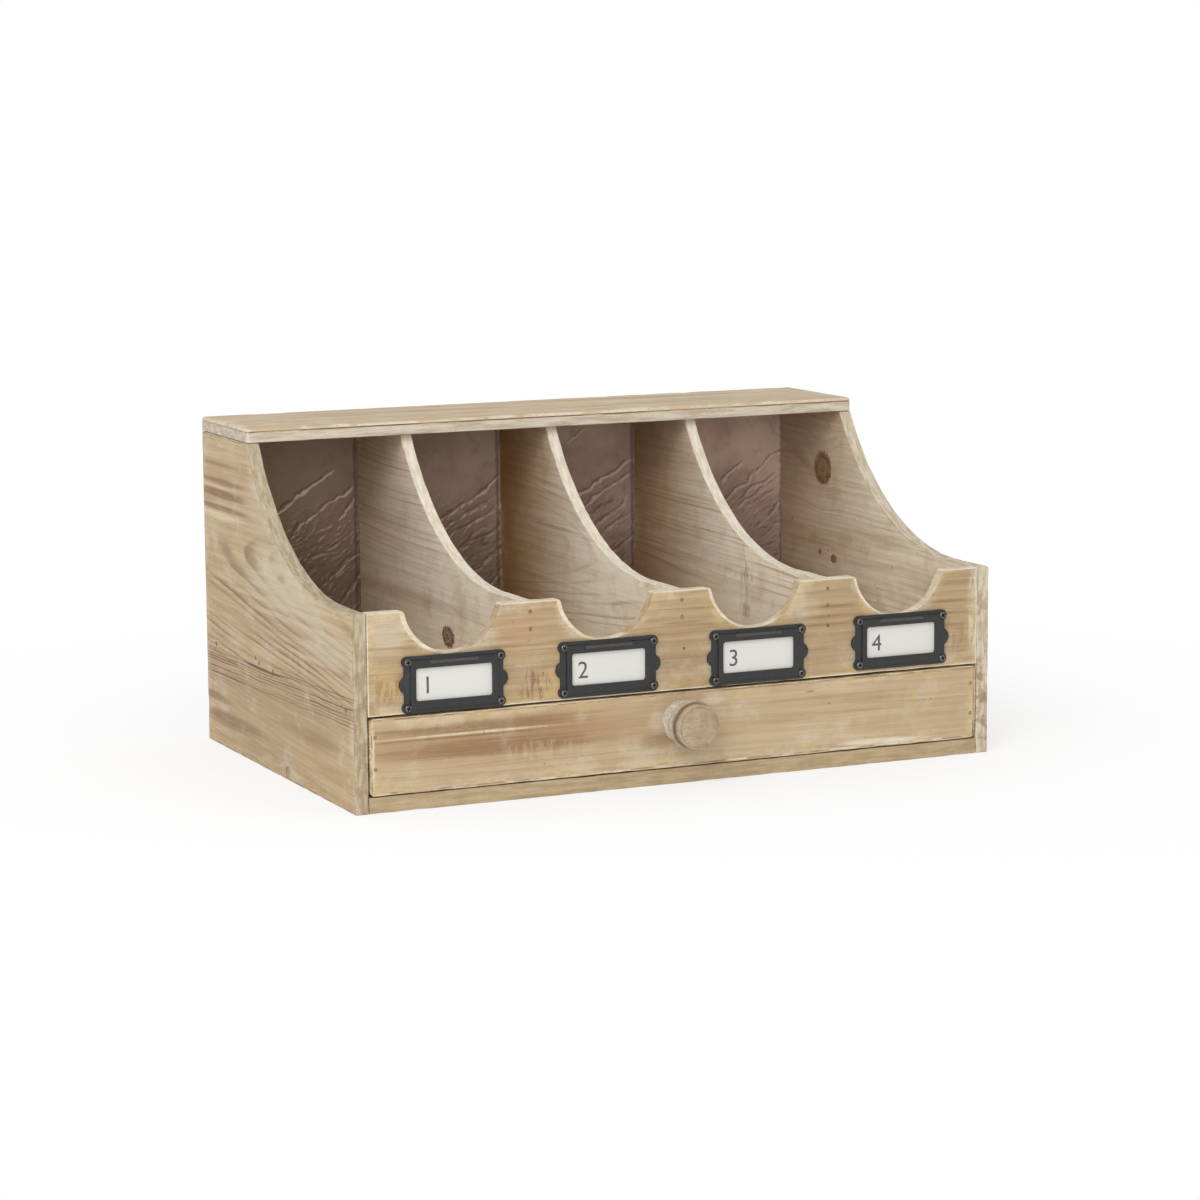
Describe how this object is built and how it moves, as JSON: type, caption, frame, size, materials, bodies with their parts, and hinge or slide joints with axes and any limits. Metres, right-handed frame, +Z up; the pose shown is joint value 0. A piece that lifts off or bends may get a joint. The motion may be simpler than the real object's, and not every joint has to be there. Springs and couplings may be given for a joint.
{
  "type": "cutlery caddy",
  "caption": "Wooden cutlery caddy with curved sides, open bays with round finger mouths, label frames and a drawer below with a turned knob.",
  "frame": {"origin": "middle of the underside of the base board", "axes": "+X to the caddy's right along its length, +Y to its back, +Z up; the front and the drawer face -Y"},
  "size_m": [0.4, 0.2742, 0.197],
  "materials": {
    "weathered_wood": "pale softwood, streaked brown and rubbed with whitish paint along its edges, matt",
    "drawer_front_wood": "pale softwood with a brown band, edges worn whitish, matt",
    "inside_wood": "greyish beige bare softwood, matt",
    "knob_wood": "turned wood rubbed with thin whitish paint",
    "back_board": "thin dark reddish brown board faced with wrinkled veined paper",
    "frame_metal": "black enamel, satin",
    "screw_metal": "blackened steel, satin",
    "label_card": "off-white card with a plain printed number",
    "brad_metal": "dull browned steel"
  },
  "bodies": {
    "carcass": {"back_panel": "back_board", "base_board": "weathered_wood", "compartment_floor": "inside_wood", "divider_1": "inside_wood", "divider_2": "inside_wood", "divider_3": "inside_wood", "front_brad_1_1": "brad_metal", "front_brad_1_2": "brad_metal", "front_brad_2_1": "brad_metal", "front_brad_2_2": "brad_metal", "front_brad_3_1": "brad_metal", "front_brad_3_2": "brad_metal", "front_panel": "weathered_wood", "label_frame_1": "frame_metal", "label_frame_2": "frame_metal", "label_frame_3": "frame_metal", "label_frame_4": "frame_metal", "label_screw_1_1": "screw_metal", "label_screw_1_2": "screw_metal", "label_screw_1_3": "screw_metal", "label_screw_1_4": "screw_metal", "label_screw_2_1": "screw_metal", "label_screw_2_2": "screw_metal", "label_screw_2_3": "screw_metal", "label_screw_2_4": "screw_metal", "label_screw_3_1": "screw_metal", "label_screw_3_2": "screw_metal", "label_screw_3_3": "screw_metal", "label_screw_3_4": "screw_metal", "label_screw_4_1": "screw_metal", "label_screw_4_2": "screw_metal", "label_screw_4_3": "screw_metal", "label_screw_4_4": "screw_metal", "left_side": "weathered_wood", "left_side_brad_1": "brad_metal", "left_side_brad_2": "brad_metal", "left_side_brad_3": "brad_metal", "right_side": "weathered_wood", "right_side_brad_1": "brad_metal", "right_side_brad_2": "brad_metal", "right_side_brad_3": "brad_metal", "top_board": "weathered_wood"},
    "drawer": {"drawer_back": "inside_wood", "drawer_bottom": "inside_wood", "drawer_front": "drawer_front_wood", "drawer_knob": "knob_wood", "drawer_left_brad_1": "brad_metal", "drawer_left_brad_2": "brad_metal", "drawer_left_side": "inside_wood", "drawer_right_brad_1": "brad_metal", "drawer_right_brad_2": "brad_metal", "drawer_right_side": "inside_wood", "knob_screw": "screw_metal"},
    "card_1": {"label_card_1": "label_card"},
    "card_2": {"label_card_2": "label_card"},
    "card_3": {"label_card_3": "label_card"},
    "card_4": {"label_card_4": "label_card"}
  },
  "joints": [
    {"name": "drawer_slide", "type": "slide", "parent": "carcass", "child": "drawer", "axis": [0, -1, 0], "range_m": [0, 0.18]},
    {"name": "label_card_1_slide", "type": "slide", "parent": "carcass", "child": "card_1", "axis": [0, 0, 1], "range_m": [0, 0.023]},
    {"name": "label_card_2_slide", "type": "slide", "parent": "carcass", "child": "card_2", "axis": [0, 0, 1], "range_m": [0, 0.023]},
    {"name": "label_card_3_slide", "type": "slide", "parent": "carcass", "child": "card_3", "axis": [0, 0, 1], "range_m": [0, 0.023]},
    {"name": "label_card_4_slide", "type": "slide", "parent": "carcass", "child": "card_4", "axis": [0, 0, 1], "range_m": [0, 0.023]}
  ]
}
